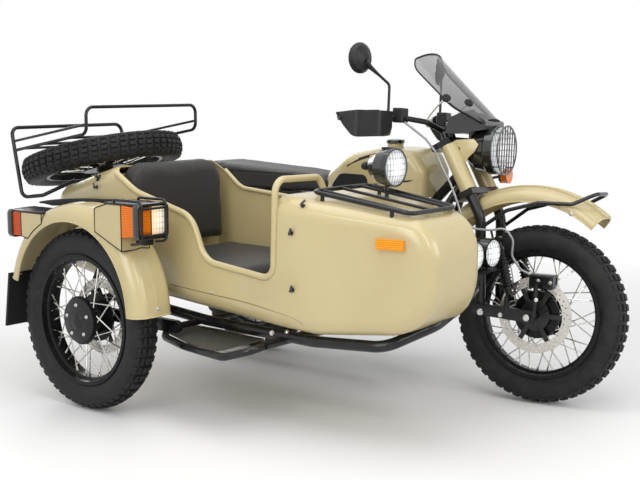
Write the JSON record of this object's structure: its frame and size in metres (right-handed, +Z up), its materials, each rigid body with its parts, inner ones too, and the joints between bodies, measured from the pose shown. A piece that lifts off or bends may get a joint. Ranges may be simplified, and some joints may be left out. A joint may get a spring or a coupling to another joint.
{
  "type": "sidecar motorcycle",
  "caption": "Motorcycle with a flat-twin engine and leading-link fork, joined to a hollow sidecar whose hinged trunk lid carries a spare wheel and luggage rack; wheels turn and the fork steers.",
  "frame": {"origin": "on the ground under the middle of the bounding box", "axes": "+X forward, +Y to the left, +Z up"},
  "size_m": [2.4167, 1.6471, 1.39],
  "materials": {
    "amber_plastic": "gloss",
    "black_paint": "satin",
    "black_plastic": "matte",
    "black_rubber": "matte",
    "black_vinyl": "satin",
    "bright_steel": "satin",
    "cast_aluminium": "satin",
    "clear_glass": "gloss",
    "exhaust_black": "matte",
    "sand_paint": "gloss",
    "smoked_screen": "gloss",
    "tyre_rubber": "matte"
  },
  "bodies": {
    "chassis": {"amber_lenses": "amber_plastic", "aux_lamps": "black_plastic", "backrest": "black_vinyl", "bench_seat": "black_vinyl", "bike_frame": "black_paint", "cockpit_rim": "sand_paint", "corner_lamps": "sand_paint", "engine": "cast_aluminium", "exhaust": "exhaust_black", "fuel_tank": "sand_paint", "knee_pads": "black_rubber", "lamp_glasses": "clear_glass", "lamp_guards": "black_paint", "mudflap": "black_rubber", "nose_rack": "black_paint", "rear_fender": "sand_paint", "seat_cushion": "black_vinyl", "shock_absorbers": "black_paint", "side_strip": "black_rubber", "sidecar_arm": "black_paint", "sidecar_fender": "sand_paint", "sidecar_frame": "black_paint", "sidecar_tub": "sand_paint", "step_plate": "bright_steel", "swing_arm": "black_paint", "tail_lamp": "black_plastic"},
    "steering": {"fork": "black_paint", "fork_shrouds": "sand_paint", "leading_links": "black_paint", "front_shocks": "black_paint", "headlamp_shell": "black_plastic", "headlamp_lens": "clear_glass", "headlamp_guard": "black_paint", "handlebar": "black_paint", "hand_controls": "black_plastic", "windscreen": "smoked_screen", "front_fender": "sand_paint", "fender_loop": "black_paint", "front_turn_lamp": "amber_plastic", "brake_hose": "bright_steel"},
    "trunk_lid_body": {"trunk_lid": "sand_paint", "luggage_rack": "black_paint", "spare_tyre": "tyre_rubber", "spare_wheel": "black_paint"},
    "front_wheel_body": {"front_tyre": "tyre_rubber", "front_wheel": "black_paint", "front_disc": "bright_steel"},
    "rear_wheel_body": {"rear_tyre": "tyre_rubber", "rear_wheel": "black_paint", "rear_disc": "bright_steel"},
    "sidecar_wheel_body": {"sidecar_tyre": "tyre_rubber", "sidecar_wheel": "black_paint", "sidecar_disc": "bright_steel"}
  },
  "joints": [
    {"name": "steer", "type": "hinge", "parent": "chassis", "child": "steering", "pos_m": [0.492, 0.4384, 0.893], "axis": [-0.4848, 0, 0.8746], "range_deg": [-43, 27]},
    {"name": "front_wheel_spin", "type": "hinge", "parent": "steering", "child": "front_wheel_body", "pos_m": [0.86548, 0.44695, 0.34471], "axis": [-0.1217, 0.9903, -0.0675], "continuous": true},
    {"name": "rear_wheel_spin", "type": "hinge", "parent": "chassis", "child": "rear_wheel_body", "pos_m": [-0.629, 0.4384, 0.345], "axis": [0, 1, 0], "continuous": true},
    {"name": "sidecar_wheel_spin", "type": "hinge", "parent": "chassis", "child": "sidecar_wheel_body", "pos_m": [-0.414, -0.7316, 0.345], "axis": [0, 1, 0], "continuous": true},
    {"name": "trunk_lid_hinge", "type": "hinge", "parent": "chassis", "child": "trunk_lid_body", "pos_m": [-0.93132, -0.2616, 0.8007], "axis": [0, -1, 0], "range_deg": [0, 75]}
  ]
}
